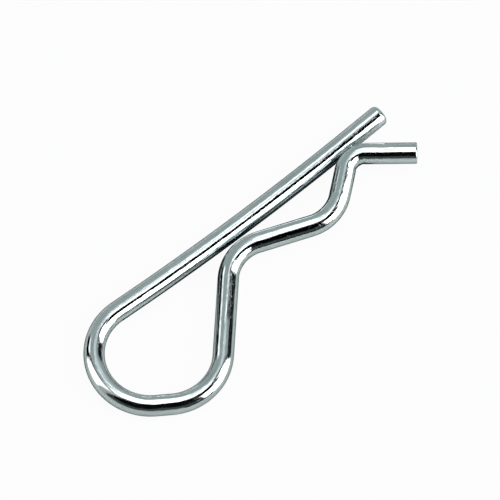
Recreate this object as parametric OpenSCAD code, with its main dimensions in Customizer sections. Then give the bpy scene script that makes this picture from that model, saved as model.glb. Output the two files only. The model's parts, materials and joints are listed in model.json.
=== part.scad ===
// Hitch R clip pin: one piece of round spring wire, bent round forming pins.
// The straight leg lies along X with its free end at +X, the bow is at -X, and the waved leg is on the -Y side.
// It lies flat: the straight leg and the bow rest on the plane z = 0, and the waved leg rises a little from it.

/* [Wire] */
// Diameter of the round spring wire
wire_d = 4; // [3:0.5:5]
// Radius of the rounded rim on the cut end of the straight leg
leg_rim_r = 0.8; // [0.2:0.1:1.2]
// Radius of the rounded rim on the cut end of the tip
tip_rim_r = 0.4; // [0.2:0.1:1.2]

/* [Straight leg] */
// Straight stretch at the free end, which enters the cross hole first
lead_in_length = 8; // [6:0.5:12]
// Length of wire in the slight curve from there to the bow
leg_curve_length = 55.4; // [46:0.2:70]
// Radius of that curve, along the middle of the wire
leg_curve_r = 590; // [400:10:1200]

/* [Bow] */
// Radius of the forming pin inside the bow
bow_pin_r = 8.5; // [7:0.25:10]
// Angle of the bow's first turn, away from the leg
bow_first_turn = 149; // [140:1:158]
// Straight between the bow's two turns
bow_flat = 3; // [1:0.5:6]
// Angle at which the bow's second turn sends the wire back to the leg
return_angle = 45; // [40:1:50]

/* [Waved leg] */
// Radius of the forming pins at the throat and at the saddle
wave_pin_r = 6; // [5:0.25:7]
// Radius of the forming pin at the last crest
crest_pin_r = 2; // [1.5:0.25:3]
// Gap between the straight leg and the first crest, at the throat
throat_gap = 0.6; // [0.3:0.1:2]
// Angle at which the saddle's first side leaves the leg
saddle_front_angle = 23.5; // [20:0.5:28]
// Diameter of the round shaft that seats in the saddle, centred on the straight leg
shaft_d = 15; // [13:0.5:17]
// Angle at which the saddle's second side comes back to the leg
saddle_back_angle = 37; // [32:1:42]
// Gap between the straight leg and the last crest, which rides on the leg's flank
crest_gap = 0.12; // [0.1:0.02:0.6]
// Height of the last crest above the straight leg
crest_rise = 1.7; // [0.5:0.1:2.2]
// Angle at which the tip flares away from the leg
tip_angle = 41; // [30:1:50]
// Straight length of the flared tip, with its cut end
tip_length = 9.5; // [5:0.5:14]
// Straight between the bow and the slight bend that lifts the waved leg
rise_start = 4; // [2:0.5:6]
// Radius of that slight bend
rise_bend_r = 60; // [40:5:80]

/* [Hidden] */
$fn = 96;
// Steps along a bend, so that the long curve is as smooth as the tight ones
bend_steps = 24;
steel = [0.80, 0.82, 0.84];
// The bends and the lead-in stand this much proud of the runs between them, which lap into them.
swell = 0.01;
run_d = wire_d - 2 * swell;
lap = 0.05;
// Side to which a bend turns, as the roll about the wire that brings a left turn there
left = 0;
right = 180;
up = 90;

// Bend radii along the middle of the wire
bow_r = bow_pin_r + wire_d / 2;
wave_r = wave_pin_r + wire_d / 2;
crest_r = crest_pin_r + wire_d / 2;

// A place on the wire is [x, y, heading], seen from above, with the heading in degrees.
function along(heading) = [cos(heading), sin(heading)];
function left_of(heading) = [-sin(heading), cos(heading)];
function spot(place) = [place.x, place.y];
function put(point, heading) = [point.x, point.y, heading];
function ahead(place, length) = put(spot(place) + length * along(place.z), place.z);

// Centre of a bend that starts at a place: side is 1 for a left turn and -1 for a right turn.
function bend_centre(place, radius, side) = spot(place) + side * radius * left_of(place.z);
function turned(place, radius, side, angle) =
    let (heading = place.z + side * angle)
    put(bend_centre(place, radius, side) - side * radius * left_of(heading), heading);

// The straight leg, walked from its free end to the bow
leg_end = [0, 0, 180];
curve_start = ahead(leg_end, lead_in_length);
leg_curve_angle = leg_curve_length / leg_curve_r * 180 / PI;
leg_centre = bend_centre(curve_start, leg_curve_r, -1);

// The bow: two turns on one forming pin, with a short flat between them
bow_start = turned(curve_start, leg_curve_r, -1, leg_curve_angle);
flat_start = turned(bow_start, bow_r, 1, bow_first_turn);
flat_end = ahead(flat_start, bow_flat);
bow_second_turn = 360 + return_angle - flat_end.z;
bow_end = turned(flat_end, bow_r, 1, bow_second_turn);

// Length of straight wire, before a bend, that puts the bend's centre at a distance from the leg's centre
// of curvature: crossing is -1 where the wire comes nearer to the leg and 1 where it goes away from it.
function length_until(place, radius, side, distance, crossing) =
    let (
        from_centre = bend_centre(place, radius, side) - leg_centre,
        b = from_centre * along(place.z),
        c = from_centre * from_centre - distance * distance
    )
    -b + crossing * sqrt(b * b - c);

// The return run and the throat: the first crest stands clear of the leg by the throat gap.
throat_distance = leg_curve_r + wire_d + throat_gap + wave_r;
return_length = length_until(bow_end, wave_r, -1, throat_distance, -1);
throat_start = ahead(bow_end, return_length);
throat_turn = return_angle + saddle_front_angle;
throat_end = turned(throat_start, wave_r, -1, throat_turn);

// The saddle: its inner side touches the shaft that is centred on the leg.
saddle_distance = leg_curve_r + (shaft_d + wire_d) / 2 - wave_r;
front_length = length_until(throat_end, wave_r, 1, saddle_distance, 1);
saddle_start = ahead(throat_end, front_length);
saddle_turn = saddle_front_angle + saddle_back_angle;
saddle_end = turned(saddle_start, wave_r, 1, saddle_turn);

// The last crest rides on the leg's flank: its rise and its offset keep the crest gap between the two.
crest_offset = sqrt(pow(wire_d + crest_gap, 2) - pow(crest_rise, 2));
crest_distance = leg_curve_r + crest_offset + crest_r;
back_length = length_until(saddle_end, crest_r, -1, crest_distance, -1);
crest_start = ahead(saddle_end, back_length);
crest_centre = bend_centre(crest_start, crest_r, -1);
crest_turn = saddle_back_angle + tip_angle;
tip_start = turned(crest_start, crest_r, -1, crest_turn);
tip_end = ahead(tip_start, tip_length);

// The rise: a slight bend in the return run tilts up all of the wire past it, to the last crest's height.
rise_bend_start = ahead(bow_end, rise_start);
crest_top = crest_centre + [0, crest_r];
rise_angle = asin(crest_rise / ((crest_top - spot(rise_bend_start)) * along(return_angle)));
rise_tangent = rise_bend_r * tan(rise_angle / 2);

// Box of the wire, seen from above, for an origin at the middle of its base
first_turn_centre = bend_centre(bow_start, bow_r, 1);
second_turn_centre = bend_centre(flat_end, bow_r, 1);
tip_rim = spot(tip_end) - tip_rim_r * along(tip_end.z) + (wire_d / 2 - tip_rim_r) * left_of(tip_end.z);
box_min = [first_turn_centre.x, second_turn_centre.y] - (bow_r + wire_d / 2) * [1, 1];
box_max = [max(leg_end.x, tip_rim.x + tip_rim_r), first_turn_centre.y + bow_r + wire_d / 2];
box_middle = (box_min + box_max) / 2;

// The drawing follows the wire: each piece runs along +X, with the wire's left along +Y and its top
// along +Z, and what comes after it is its child, drawn from where it stops.

// Round wire with a rounded rim on its far end
module cut_wire(diameter, length, rim_r) {
    rotate([0, 90, 0])
        rotate_extrude()
        union() {
            square([diameter / 2, length - rim_r]);
            square([diameter / 2 - rim_r, length]);
            translate([diameter / 2 - rim_r, length - rim_r])
                intersection() {
                    circle(r = rim_r);
                    square(rim_r);
                }
        }
}

// A straight run, lapped into the bends at both of its ends
module run(length) {
    translate([-lap, 0, 0])
        rotate([0, 90, 0])
        cylinder(d = run_d, h = length + 2 * lap);
    translate([length, 0, 0]) children();
}

// Arc of wire that turns left from the place where it starts; a lap makes it longer at both ends.
module arc_of_wire(diameter, radius, angle, lap_angle = 0) {
    drawn_angle = angle + 2 * lap_angle;
    translate([0, radius, 0])
        rotate([0, 0, -90 - lap_angle])
        rotate_extrude(angle = drawn_angle, $fn = ceil(bend_steps * 360 / drawn_angle))
        translate([radius, 0])
        circle(d = diameter, $fn = 96);
}

// Moves to the end of an arc that turns left.
module past_arc(radius, angle) {
    translate([0, radius, 0])
        rotate([0, 0, angle])
        translate([0, -radius, 0])
        children();
}

module bend(radius, side, angle) {
    rotate([side, 0, 0]) {
        arc_of_wire(wire_d, radius, angle);
        past_arc(radius, angle) rotate([-side, 0, 0]) children();
    }
}

// The straight leg, from its cut end to the bow: the lead-in, then the slight curve
module straight_leg() {
    translate([lead_in_length, 0, 0]) {
        rotate([0, 0, 180]) cut_wire(wire_d, lead_in_length, leg_rim_r);
        rotate([right, 0, 0]) {
            arc_of_wire(run_d, leg_curve_r, leg_curve_angle, lap / leg_curve_r * 180 / PI);
            past_arc(leg_curve_r, leg_curve_angle) rotate([-right, 0, 0]) children();
        }
    }
}

module bow() {
    bend(bow_r, left, bow_first_turn)
        run(bow_flat)
        bend(bow_r, left, bow_second_turn)
        run(rise_start)
        children();
}

// The waved leg, from the rise to the tip: throat, saddle, last crest
module waved_leg() {
    bend(rise_bend_r, up, rise_angle)
        run(return_length - rise_start - 2 * rise_tangent)
        bend(wave_r, right, throat_turn)
        run(front_length)
        bend(wave_r, left, saddle_turn)
        run(back_length)
        bend(crest_r, right, crest_turn)
        translate([-lap, 0, 0])
        cut_wire(run_d, tip_length + lap, tip_rim_r);
}

module spring_wire() {
    color(steel)
        translate([-box_middle.x, -box_middle.y, wire_d / 2])
        rotate([0, 0, 180])
        straight_leg()
        bow()
        waved_leg();
}

spring_wire();
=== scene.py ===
"""Hitch R clip pin: one piece of bright zinc-plated spring wire, lying flat on a pale floor in a light tent.

Lengths are in millimetres until the meshes are made, which are in metres, as the frame is.
"""

import json
import math

import bpy
import numpy as np
from mathutils import Matrix, Vector


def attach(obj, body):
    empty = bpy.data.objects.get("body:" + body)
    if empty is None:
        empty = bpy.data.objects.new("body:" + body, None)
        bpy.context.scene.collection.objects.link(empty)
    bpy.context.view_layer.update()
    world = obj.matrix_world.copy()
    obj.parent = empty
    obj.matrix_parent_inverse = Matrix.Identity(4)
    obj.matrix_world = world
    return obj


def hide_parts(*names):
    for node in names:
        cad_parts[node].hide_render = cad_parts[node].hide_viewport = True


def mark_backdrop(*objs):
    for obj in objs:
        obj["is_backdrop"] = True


MM = 0.001

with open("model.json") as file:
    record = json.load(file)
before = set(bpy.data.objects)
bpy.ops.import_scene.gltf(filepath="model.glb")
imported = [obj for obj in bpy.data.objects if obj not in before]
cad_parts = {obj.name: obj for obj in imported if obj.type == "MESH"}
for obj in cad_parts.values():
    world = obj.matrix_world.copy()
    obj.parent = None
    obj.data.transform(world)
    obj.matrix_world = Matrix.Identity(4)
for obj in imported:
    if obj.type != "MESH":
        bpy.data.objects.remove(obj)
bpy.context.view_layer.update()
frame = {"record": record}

# Driving sizes of the wire, as in the CAD model, apart from the tip's rim, which is sharper here
WIRE_D = 4.0
WIRE_R = WIRE_D / 2
LEG_RIM_R = 0.8
TIP_RIM_R = 0.25
LEAD_IN_LENGTH = 8.0
LEG_CURVE_LENGTH = 55.4
LEG_CURVE_R = 590.0
BOW_R = 10.5
BOW_FIRST_TURN = 149.0
BOW_FLAT = 3.0
RETURN_ANGLE = 45.0
WAVE_R = 8.0
CREST_R = 4.0
THROAT_GAP = 0.6
SADDLE_FRONT_ANGLE = 23.5
SHAFT_D = 15.0
SADDLE_BACK_ANGLE = 37.0
CREST_GAP = 0.12
CREST_RISE = 1.7
TIP_ANGLE = 41.0
TIP_LENGTH = 9.5
RISE_START = 4.0
RISE_BEND_R = 60.0

# What bending and cutting do to the wire: a tight bend narrows it and the forming pin marks its inner side,
# both of which grow over BEND_EASE from the bend's ends, and a cut leaves a slightly crowned face.
BEND_NARROWING = 0.16
PIN_MARK = 0.03
BEND_EASE = WIRE_D / 4
FACE_CROWN = 0.05
# Share of a rim, from the wire's side inwards, that has the finish of the wire and not that of the cut
PLATED_RIM_SHARE = 0.6

# Directions at the leg's cut end: forward along the wire, to its left, and up
LEG_DIRECTIONS = (Vector((-1, 0, 0)), Vector((0, -1, 0)), Vector((0, 0, 1)))

# How finely the wire is meshed, and how near to a rim a ring may be
RING_STEP = 0.3
RING_SIDES = 72
RIM_STEPS = 8
FACE_RINGS = 6
RIM_CLEARANCE = 0.01

# The photograph: its side, the scale on the wire, and where the middle of the leg's cut end is in it
PHOTO_SIDE = 500
PIXELS_PER_MM = 5.375
LEG_END_PIXEL = (381.56, 113.05)
CAMERA_AZIMUTH = -41.57
CAMERA_ELEVATION = 67.0
CAMERA_LENS = 1000.0
SENSOR_WIDTH = 36.0
# Depth of the wire's middle towards the camera, from the leg's cut end
MIDDLE_DEPTH = 11.0
# Nearest and farthest that the camera sees, in metres
CLIP_NEAR = 0.1
CLIP_FAR = 30.0

# The floor's side in metres, and the shares of its plain white that the camera and a mirroring surface see
FLOOR_SIDE = 12.0
FLOOR_COLOUR = (0.67, 0.72, 0.705, 1)
FLOOR_WHITE_SEEN = 0.95
FLOOR_WHITE_MIRRORED = 0.08

# The dark card under the leg, which only the wire mirrors: a painted shadow on the floor beside the leg,
# which the leg mirrors as its dark lower edge
SHADOW_CARD_START = 9.0
SHADOW_CARD_NEAR_WIDTH = 9.0
SHADOW_CARD_FAR_WIDTH = 3.5
SHADOW_CARD_HEIGHT = 0.02
SHADOW_CARD_COLOUR = (0.07, 0.085, 0.11, 1)

# The zinc's tone in its darker and its lighter patches, and the tint of what it mirrors at a flat angle,
# which is partly zinc's own dimming there and partly painted shade, far darker than zinc's, along the wire's
# outline
ZINC_DARK = (0.55, 0.62, 0.61, 1)
ZINC_LIGHT = (0.79, 0.84, 0.845, 1)
ZINC_FLAT_ANGLE_TINT_AND_SHADE = (0.3, 0.31, 0.31, 1)
# Heights of its bumps
SHEAR_MARK_HEIGHT = 0.08
SKIN_HEIGHT = 0.035
FINE_HEIGHT = 0.004


# The wire's route, seen from above: a place is a point, as a complex number, and a heading in degrees.
def along(heading):
    return complex(math.cos(math.radians(heading)), math.sin(math.radians(heading)))


def ahead(place, length):
    point, heading = place
    return point + length * along(heading), heading


def bend_centre(place, radius, side):
    point, heading = place
    return point + side * radius * 1j * along(heading)


def turned(place, radius, side, angle):
    heading = place[1] + side * angle
    return bend_centre(place, radius, side) - side * radius * 1j * along(heading), heading


def length_until(place, radius, side, centre, distance, crossing):
    """Straight length that puts the next bend's centre at a distance from the leg's centre of curvature."""
    start = bend_centre(place, radius, side) - centre
    towards = (start * along(place[1]).conjugate()).real
    return -towards + crossing * math.sqrt(towards**2 - abs(start) ** 2 + distance**2)


def wire_steps():
    """The wire from its leg's cut end to its tip: ("run", length), or (side it bends to, angle, radius)."""
    place = ahead((0j, 180.0), LEAD_IN_LENGTH)
    leg_curve_angle = math.degrees(LEG_CURVE_LENGTH / LEG_CURVE_R)
    leg_centre = bend_centre(place, LEG_CURVE_R, -1)
    place = turned(place, LEG_CURVE_R, -1, leg_curve_angle)
    place = turned(place, BOW_R, 1, BOW_FIRST_TURN)
    place = ahead(place, BOW_FLAT)
    bow_second_turn = 360 + RETURN_ANGLE - place[1]
    bow_end = turned(place, BOW_R, 1, bow_second_turn)

    throat_distance = LEG_CURVE_R + WIRE_D + THROAT_GAP + WAVE_R
    return_length = length_until(bow_end, WAVE_R, -1, leg_centre, throat_distance, -1)
    throat_turn = RETURN_ANGLE + SADDLE_FRONT_ANGLE
    place = turned(ahead(bow_end, return_length), WAVE_R, -1, throat_turn)

    saddle_distance = LEG_CURVE_R + (SHAFT_D + WIRE_D) / 2 - WAVE_R
    front_length = length_until(place, WAVE_R, 1, leg_centre, saddle_distance, 1)
    saddle_turn = SADDLE_FRONT_ANGLE + SADDLE_BACK_ANGLE
    place = turned(ahead(place, front_length), WAVE_R, 1, saddle_turn)

    crest_offset = math.sqrt((WIRE_D + CREST_GAP) ** 2 - CREST_RISE**2)
    crest_distance = LEG_CURVE_R + crest_offset + CREST_R
    back_length = length_until(place, CREST_R, -1, leg_centre, crest_distance, -1)
    crest_centre = bend_centre(ahead(place, back_length), CREST_R, -1)
    crest_turn = SADDLE_BACK_ANGLE + TIP_ANGLE

    rise_from = ahead(bow_end, RISE_START)
    crest_top = crest_centre + CREST_R * 1j
    rise_run = ((crest_top - rise_from[0]) * along(RETURN_ANGLE).conjugate()).real
    rise_angle = math.degrees(math.asin(CREST_RISE / rise_run))
    rise_tangent = RISE_BEND_R * math.tan(math.radians(rise_angle) / 2)

    return [
        ("run", LEAD_IN_LENGTH),
        ("right", leg_curve_angle, LEG_CURVE_R),
        ("left", BOW_FIRST_TURN, BOW_R),
        ("run", BOW_FLAT),
        ("left", bow_second_turn, BOW_R),
        ("run", RISE_START),
        ("up", rise_angle, RISE_BEND_R),
        ("run", return_length - RISE_START - 2 * rise_tangent),
        ("right", throat_turn, WAVE_R),
        ("run", front_length),
        ("left", saddle_turn, WAVE_R),
        ("run", back_length),
        ("right", crest_turn, CREST_R),
        ("run", TIP_LENGTH),
    ]


def walk_wire(steps):
    """Rings along the wire: each is (middle, forward, left, up, length so far, bend, tightness).

    Bend goes from -1, for a full bend to the right, to 1, for one to the left. Tightness is the wire's
    radius as a share of the bend's.
    """
    middle = Vector((0, 0, 0))
    forward, left, up = LEG_DIRECTIONS
    gone = 0.0
    rings = []
    for kind, size, *bend_radius in steps:
        if kind == "run":
            length = size
        else:
            angle, radius = math.radians(size), bend_radius[0]
            length = angle * radius
            inward = {"left": left, "right": -left, "up": up}[kind]
            sideways = {"left": 1.0, "right": -1.0, "up": 0.0}[kind]
            axis = forward.cross(inward)
            centre = middle + radius * inward
        count = max(2, math.ceil(length / RING_STEP))
        start = (middle.copy(), forward.copy(), left.copy(), up.copy())
        for i in range(1, count + 1):
            share = i / count
            if kind == "run":
                middle = start[0] + share * length * forward
                bend, tightness = 0.0, 0.0
            else:
                turn = Matrix.Rotation(share * angle, 3, axis)
                middle = centre + turn @ (start[0] - centre)
                forward, left, up = (turn @ v for v in start[1:])
                bend = sideways * min(1.0, min(share, 1 - share) * length / BEND_EASE)
                tightness = WIRE_R / radius
            directions = (forward.copy(), left.copy(), up.copy())
            rings.append((middle.copy(), *directions, gone + share * length, bend, tightness))
        gone += length
    return rings


def section_radius(angle, bend, tightness):
    """Radius of the wire's section at an angle from its left. A bend narrows it across, never in height."""
    narrowing = BEND_NARROWING * tightness**2 * abs(bend) * math.cos(angle) ** 2
    towards_pin = max(0.0, math.cos(angle) * math.copysign(1, bend))
    pin_mark = PIN_MARK * tightness * abs(bend) * towards_pin**6
    return WIRE_R * (1 - narrowing - pin_mark)


def end_profile(rim_r):
    """Rounded rim of a cut end and its face, from the wire's side inwards.

    Each is (distance behind the end, radius, 1 where the surface is cut and 0 where it is plated).
    """
    profile = []
    for i in range(RIM_STEPS + 1):
        turn = math.pi / 2 * i / RIM_STEPS
        profile.append((rim_r * (1 - math.sin(turn)), WIRE_R - rim_r * (1 - math.cos(turn))))
    face_r = WIRE_R - rim_r
    for i in range(1, FACE_RINGS):
        radius = face_r * (1 - i / FACE_RINGS)
        profile.append((-FACE_CROWN * (1 - (radius / face_r) ** 2), radius))
    plated_from = WIRE_R - rim_r * PLATED_RIM_SHARE
    return [(behind, radius, float(radius < plated_from)) for behind, radius in profile]


def wire_mesh():
    """The swept wire with its two cut ends. Each corner's place on the wire is kept for the material."""
    angles = [2 * math.pi * side / RING_SIDES for side in range(RING_SIDES)]
    rings = walk_wire(wire_steps())
    total = rings[-1][4]
    points = []
    places = []
    cuts = []

    def add_ring(middle, left, up, radii, gone, cut):
        for angle, radius in zip(angles, radii):
            points.append(middle + radius * (math.cos(angle) * left + math.sin(angle) * up))
            places.append((gone, radius * math.cos(angle), radius * math.sin(angle)))
            cuts.append(cut)

    forward, left, up = LEG_DIRECTIONS
    for behind, radius, cut in reversed(end_profile(LEG_RIM_R)):
        add_ring(behind * forward, left, up, [radius] * RING_SIDES, behind, cut)
    leg_pole = (-FACE_CROWN * forward, 0, 0.0)
    for middle, _, left, up, gone, bend, tightness in rings:
        if LEG_RIM_R + RIM_CLEARANCE < gone < total - TIP_RIM_R - RIM_CLEARANCE:
            add_ring(middle, left, up, [section_radius(a, bend, tightness) for a in angles], gone, 0.0)
    tip, forward, left, up = rings[-1][:4]
    for behind, radius, cut in end_profile(TIP_RIM_R):
        add_ring(tip - behind * forward, left, up, [radius] * RING_SIDES, total - behind, cut)

    last_ring = len(points) - RING_SIDES
    tip_pole = (tip + FACE_CROWN * forward, last_ring, total)

    faces = []
    for here in range(0, last_ring, RING_SIDES):
        for side in range(RING_SIDES):
            after = (side + 1) % RING_SIDES
            there = here + RING_SIDES
            faces.append((here + side, here + after, there + after, there + side))
    for pole, first, gone in (leg_pole, tip_pole):
        points.append(pole)
        places.append((gone, 0.0, 0.0))
        cuts.append(1.0)
        for side in range(RING_SIDES):
            corners = [first + side, first + (side + 1) % RING_SIDES]
            # The leg's face looks back along the wire, so its corners go the other way round.
            if first == 0:
                corners.reverse()
            faces.append((len(points) - 1, *corners))
    return points, places, cuts, faces


def add_object(name, mesh):
    added = bpy.data.objects.new(name, mesh)
    bpy.context.scene.collection.objects.link(added)
    return added


def make_wire(leg_end):
    points, places, cuts, faces = wire_mesh()
    mesh = bpy.data.meshes.new("zinc_wire")
    mesh.from_pydata([(leg_end + p) * MM for p in points], [], faces)
    place = mesh.attributes.new("wire_place", "FLOAT_VECTOR", "POINT")
    place.data.foreach_set("vector", np.array(places, np.float32).ravel())
    cut = mesh.attributes.new("cut_face", "FLOAT", "POINT")
    cut.data.foreach_set("value", np.array(cuts, np.float32))
    mesh.shade_smooth()
    mesh.update()
    mesh.materials.append(zinc_plate())
    return add_object("zinc_wire", mesh)


class Nodes:
    """A short way to add linked shader nodes to a material."""

    def __init__(self, name):
        self.material = bpy.data.materials.new(name)
        self.material.use_nodes = True
        self.tree = self.material.node_tree
        self.tree.nodes.clear()

    def add(self, kind, inputs=None, **settings):
        node = self.tree.nodes.new(kind)
        for key, value in settings.items():
            setattr(node, key, value)
        for key, value in (inputs or {}).items():
            if isinstance(value, bpy.types.NodeSocket):
                self.tree.links.new(value, node.inputs[key])
            else:
                node.inputs[key].default_value = value
        return node

    def out(self, shader):
        output = self.add("ShaderNodeOutputMaterial")
        self.tree.links.new(shader, output.inputs["Surface"])
        return self.material

    def noise(self, vector, scale, detail, roughness):
        inputs = {"Vector": vector, "Scale": scale, "Detail": detail, "Roughness": roughness}
        return self.add("ShaderNodeTexNoise", inputs).outputs["Fac"]

    def stretched(self, vector, scale):
        node = self.add("ShaderNodeVectorMath", {0: vector, 1: scale}, operation="MULTIPLY")
        return node.outputs["Vector"]

    def maths(self, operation, *values):
        node = self.add("ShaderNodeMath", dict(enumerate(values)), operation=operation)
        return node.outputs["Value"]

    def remap(self, value, low, high, to_low, to_high):
        inputs = {"Value": value, "From Min": low, "From Max": high, "To Min": to_low, "To Max": to_high}
        return self.add("ShaderNodeMapRange", inputs).outputs["Result"]

    def bump(self, pattern, height, over=None):
        """Bumps of a height in millimetres, over the normal of the bumps before them."""
        inputs = {"Strength": 1.0, "Distance": height * MM, "Height": pattern}
        if over is not None:
            inputs["Normal"] = over
        return self.add("ShaderNodeBump", inputs).outputs["Normal"]


def zinc_plate():
    """Bright zinc on drawn wire: lines along it, uneven tone and skin, dull scuffs, duller cut ends."""
    n = Nodes("bright_zinc")
    # A place on the wire is (millimetres along it, to its left, upwards), so scales are per millimetre, and
    # a small first number stretches a pattern along the wire.
    place = n.add("ShaderNodeAttribute", attribute_name="wire_place").outputs["Vector"]
    cut = n.add("ShaderNodeAttribute", attribute_name="cut_face").outputs["Fac"]
    draw_lines = n.noise(n.stretched(place, (0.02, 1.0, 1.0)), scale=7.0, detail=3.0, roughness=0.6)
    streaks = n.noise(n.stretched(place, (0.03, 1.0, 1.0)), scale=1.9, detail=2.0, roughness=0.6)
    skin = n.noise(n.stretched(place, (0.35, 1.0, 1.0)), scale=0.9, detail=2.0, roughness=0.5)
    specks = n.noise(place, scale=5.0, detail=4.0, roughness=0.65)
    clouds = n.noise(n.stretched(place, (0.4, 1.0, 1.0)), scale=0.6, detail=3.0, roughness=0.6)
    scuffs = n.noise(n.stretched(place, (0.3, 1.0, 1.0)), scale=3.0, detail=4.0, roughness=0.7)
    shear_marks = n.noise(n.stretched(place, (0.0, 1.0, 0.12)), scale=5.0, detail=4.0, roughness=0.6)

    shade = n.maths("ADD", n.maths("MULTIPLY", clouds, 0.4), n.maths("MULTIPLY", streaks, 0.3))
    shade = n.maths("ADD", shade, n.maths("MULTIPLY", specks, 0.3))
    tone = n.add("ShaderNodeValToRGB", {"Fac": n.remap(shade, 0.36, 0.64, 0.0, 1.0)})
    tone.color_ramp.elements[0].color = ZINC_DARK
    tone.color_ramp.elements[1].color = ZINC_LIGHT

    roughness = n.remap(specks, 0.38, 0.72, 0.025, 0.07)
    roughness = n.maths("ADD", roughness, n.remap(scuffs, 0.53, 0.72, 0.0, 0.3))
    roughness = n.maths("ADD", roughness, n.maths("MULTIPLY", cut, 0.22))

    normal = n.bump(n.maths("MULTIPLY", shear_marks, cut), SHEAR_MARK_HEIGHT)
    normal = n.bump(skin, SKIN_HEIGHT, normal)
    normal = n.bump(specks, FINE_HEIGHT, normal)
    normal = n.bump(draw_lines, FINE_HEIGHT, normal)
    shader = n.add(
        "ShaderNodeBsdfPrincipled",
        {
            "Base Color": tone.outputs["Color"],
            "Metallic": 1.0,
            "Roughness": roughness,
            # The flat-angle tint is partly zinc's own and partly painted shade that darkens the wire's
            # outline
            "Specular Tint": ZINC_FLAT_ANGLE_TINT_AND_SHADE,
            "Normal": normal,
        },
    )
    return n.out(shader.outputs["BSDF"])


def background_share(n):
    """Share of the floor's plain white that each kind of ray sees."""
    path = n.add("ShaderNodeLightPath")
    seen = n.maths("MULTIPLY", path.outputs["Is Camera Ray"], FLOOR_WHITE_SEEN)
    mirrored = n.maths("MULTIPLY", path.outputs["Is Glossy Ray"], FLOOR_WHITE_MIRRORED)
    through = n.maths("MULTIPLY", path.outputs["Is Transmission Ray"], FLOOR_WHITE_SEEN)
    return n.maths("MAXIMUM", seen, n.maths("MAXIMUM", mirrored, through))


def make_floor():
    half = FLOOR_SIDE / 2
    corners = [(-half, -half, 0), (half, -half, 0), (half, half, 0), (-half, half, 0)]
    mesh = bpy.data.meshes.new("floor")
    mesh.from_pydata(corners, [], [(0, 1, 2, 3)])
    n = Nodes("pale_floor")
    matt = n.add("ShaderNodeBsdfDiffuse", {"Color": FLOOR_COLOUR}).outputs["BSDF"]
    white = n.add("ShaderNodeEmission", {"Color": (1, 1, 1, 1), "Strength": 1.0}).outputs["Emission"]
    mix = n.add("ShaderNodeMixShader", {"Fac": background_share(n), 1: matt, 2: white})
    mesh.materials.append(n.out(mix.outputs["Shader"]))
    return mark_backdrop(add_object("floor", mesh))


def make_painted_shadow_card(leg_end):
    """A dark card under the straight leg, which only the wire mirrors: a painted shadow on the floor beside
    the leg, which the leg mirrors as its dark lower edge.
    """
    leg_rise = LEG_CURVE_LENGTH**2 / (2 * LEG_CURVE_R)
    near = leg_end - Vector((SHADOW_CARD_START, 0, 0))
    far = leg_end - Vector((LEAD_IN_LENGTH + LEG_CURVE_LENGTH, -leg_rise, 0))
    corners = [near, far, far - Vector((0, SHADOW_CARD_FAR_WIDTH, 0)), near - Vector((0, SHADOW_CARD_NEAR_WIDTH, 0))]
    mesh = bpy.data.meshes.new("painted_shadow_card")
    mesh.from_pydata([Vector((c.x, c.y, SHADOW_CARD_HEIGHT)) * MM for c in corners], [], [(0, 1, 2, 3)])
    n = Nodes("painted_shadow_paper")
    paper = n.add("ShaderNodeBsdfDiffuse", {"Color": SHADOW_CARD_COLOUR})
    mesh.materials.append(n.out(paper.outputs["BSDF"]))
    card = add_object("painted_shadow_card", mesh)
    card.visible_camera = False
    card.visible_diffuse = False
    card.visible_transmission = False
    card.visible_shadow = False
    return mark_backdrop(card)


# The light tent: its radius in metres, the step of its mesh and its foot's zenith angle in degrees, and the
# brightness of its bare cloth. A panel is (name, azimuth from and to, zenith angle from and to, soft edge,
# brightness, tint), in degrees, and it covers the panels before it. Azimuth 0 is to the camera's right and
# 90 behind the clip.
TENT_R = 0.8
TENT_STEP = 1.0
TENT_FOOT = 91.0
TENT_CLOTH = 0.50
WHITE = (1.0, 1.0, 1.0)
CLOTH = (0.89, 1.0, 1.01)
LIT_CLOTH = (0.89, 1.0, 1.04)
WARM_CLOTH = (0.94, 1.0, 0.98)
DIM_CLOTH = (0.85, 1.0, 1.0)
DARK = (0.8, 1.0, 1.1)
PANELS = [
    ("far cloth", 30, 152, 10, 100, 5, 0.43, CLOTH),
    ("lit middle of the far cloth", 50, 105, 16, 48, 7, 0.78, LIT_CLOTH),
    ("near left cloth", 196, 226, 58, 100, 10, 0.48, WARM_CLOTH),
    ("dark room behind the camera", 210, 322, 6, 79, 4, 0.003, DARK),
    ("dim shelf behind the camera", 212, 320, 57, 81, 8, 0.07, DIM_CLOTH),
    ("dark gap far left", 156, 165, 24, 100, 3, 0.003, DARK),
    ("light edge far left", 145, 157, 49, 64, 3, 1.5, WHITE),
    ("dark foot far left", 146, 166, 66, 100, 3, 0.003, DARK),
    ("dark gap far right", 13, 37, 46, 100, 6, 0.015, DARK),
    ("left soft box", 167, 198, 30, 88, 5, 2.0, WHITE),
    ("right soft box", -42, 11, 39, 100, 3, 3.8, WHITE),
    ("dark foot at the camera's right", -70, -29, 79, 100, 4, 0.003, DARK),
    ("frame of the right soft box", -64, 30, 15, 39, 2, 0.0, WHITE),
    ("far flap of the top soft box", 82, 99.5, 24, 41, 2, 2.4, WHITE),
    ("top soft box, near half", 180, 360, -20, 7, 1.5, 2.2, WHITE),
    ("top soft box, far half", 0, 180, -20, 16.4, 1.0, 2.4, WHITE),
]
# The right soft box has a wing that runs straight across the tent. Its frame and its cloth are (zenith
# angle from and to, near edge, far edge, brightness): the edges say how far behind the clip they are, as
# shares of the tent's radius.
WING = [(17.5, 66, 0.03, 0.266, 0.0), (26, 64, 0.05, 0.208, 3.2)]
WING_SOFT_EDGE = 0.012
WING_SOFT_END = 2


def soft_between(value, low, high, edge):
    return np.clip((value - low) / edge + 0.5, 0, 1) * np.clip((high - value) / edge + 0.5, 0, 1)


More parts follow.
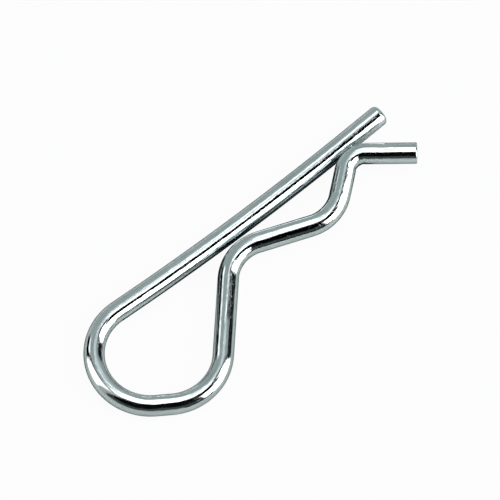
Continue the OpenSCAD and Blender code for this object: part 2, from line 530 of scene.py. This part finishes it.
def tent_colours(azimuth, zenith):
    colour = np.full((len(azimuth), 3), TENT_CLOTH)
    for _, az_from, az_to, zen_from, zen_to, edge, brightness, tint in PANELS:
        turn = (azimuth - (az_from + az_to) / 2 + 180) % 360 - 180
        half = (az_to - az_from) / 2
        mask = soft_between(turn, -half, half, edge) * soft_between(zenith, zen_from, zen_to, edge)
        colour += mask[:, None] * (brightness * np.array(tint) - colour)
    at_right = np.cos(np.radians(azimuth)) > 0
    behind = np.sin(np.radians(zenith)) * np.sin(np.radians(azimuth))
    for zen_from, zen_to, near_edge, far_edge, brightness in WING:
        mask = at_right * soft_between(zenith, zen_from, zen_to, WING_SOFT_END)
        mask *= soft_between(behind, near_edge, far_edge, WING_SOFT_EDGE)
        colour += mask[:, None] * (brightness - colour)
    return colour


def make_tent():
    """A dome of cloth and panels round the clip, which lights it and which the camera doesn't see."""
    azimuth, zenith = np.meshgrid(
        np.arange(0, 360, TENT_STEP), np.arange(0, TENT_FOOT + TENT_STEP, TENT_STEP), indexing="ij"
    )
    turn = np.radians(azimuth + CAMERA_AZIMUTH)
    tilt = np.radians(zenith)
    x = TENT_R * np.sin(tilt) * np.cos(turn)
    y = TENT_R * np.sin(tilt) * np.sin(turn)
    z = TENT_R * np.cos(tilt)
    points = np.stack([x, y, z], -1).reshape(-1, 3)
    around, down = azimuth.shape
    faces = []
    for i in range(around):
        here, there = i * down, (i + 1) % around * down
        for j in range(down - 1):
            faces.append((here + j, here + j + 1, there + j + 1, there + j))
    mesh = bpy.data.meshes.new("light_tent")
    mesh.from_pydata(points.tolist(), [], faces)
    colours = np.ones((len(points), 4), np.float32)
    colours[:, :3] = tent_colours(azimuth.ravel(), zenith.ravel())
    layer = mesh.color_attributes.new("tent_light", "FLOAT_COLOR", "POINT")
    layer.data.foreach_set("color", colours.ravel())
    n = Nodes("tent_panels")
    light = n.add("ShaderNodeAttribute", attribute_name="tent_light").outputs["Color"]
    emission = n.add("ShaderNodeEmission", {"Color": light, "Strength": 1.0})
    mesh.materials.append(n.out(emission.outputs["Emission"]))
    tent = add_object("light_tent", mesh)
    tent.visible_camera = False
    tent.visible_transmission = False
    tent.visible_shadow = False
    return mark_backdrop(tent)


def make_world():
    world = bpy.data.worlds.new("soft_white")
    world.use_nodes = True
    background = world.node_tree.nodes["Background"]
    background.inputs["Color"].default_value = (1, 1, 1, 1)
    background.inputs["Strength"].default_value = 1.0
    bpy.context.scene.world = world


def make_camera(leg_end):
    azimuth, elevation = math.radians(CAMERA_AZIMUTH), math.radians(CAMERA_ELEVATION)
    right = Vector((math.cos(azimuth), math.sin(azimuth), 0))
    back = Vector(
        (
            math.sin(azimuth) * math.cos(elevation),
            -math.cos(azimuth) * math.cos(elevation),
            math.sin(elevation),
        )
    )
    up = back.cross(right)
    across = (PHOTO_SIDE / 2 - LEG_END_PIXEL[0]) / PIXELS_PER_MM
    rise = (LEG_END_PIXEL[1] - PHOTO_SIDE / 2) / PIXELS_PER_MM
    seen_width = PHOTO_SIDE / PIXELS_PER_MM
    distance = seen_width * CAMERA_LENS / SENSOR_WIDTH + MIDDLE_DEPTH
    place = (leg_end + across * right + rise * up + distance * back) * MM
    data = bpy.data.cameras.new("camera")
    data.lens = CAMERA_LENS
    data.sensor_width = SENSOR_WIDTH
    data.clip_start = CLIP_NEAR
    data.clip_end = CLIP_FAR
    camera = add_object("camera", data)
    camera.matrix_world = Matrix.Translation(place) @ Matrix((right, up, back)).transposed().to_4x4()
    bpy.context.scene.camera = camera


# The lead-in mount's middle gives the leg's line, and the mount ends where the rim starts.
lead_in = next(m for m in frame["record"]["mounts"] if m["name"] == "lead_in")
leg_end = Vector(lead_in["pos_m"]) / MM + Vector((lead_in["dims"]["length_mm"] / 2 + LEG_RIM_R, 0, 0))

wire = make_wire(leg_end)
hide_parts("spring_wire")
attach(wire, "root")

make_floor()
# The dark card is a painted shadow on the floor beside the leg, seen only in the wire's mirroring
make_painted_shadow_card(leg_end)
make_tent()
make_world()
make_camera(leg_end)
bpy.context.scene.view_settings.view_transform = "Standard"
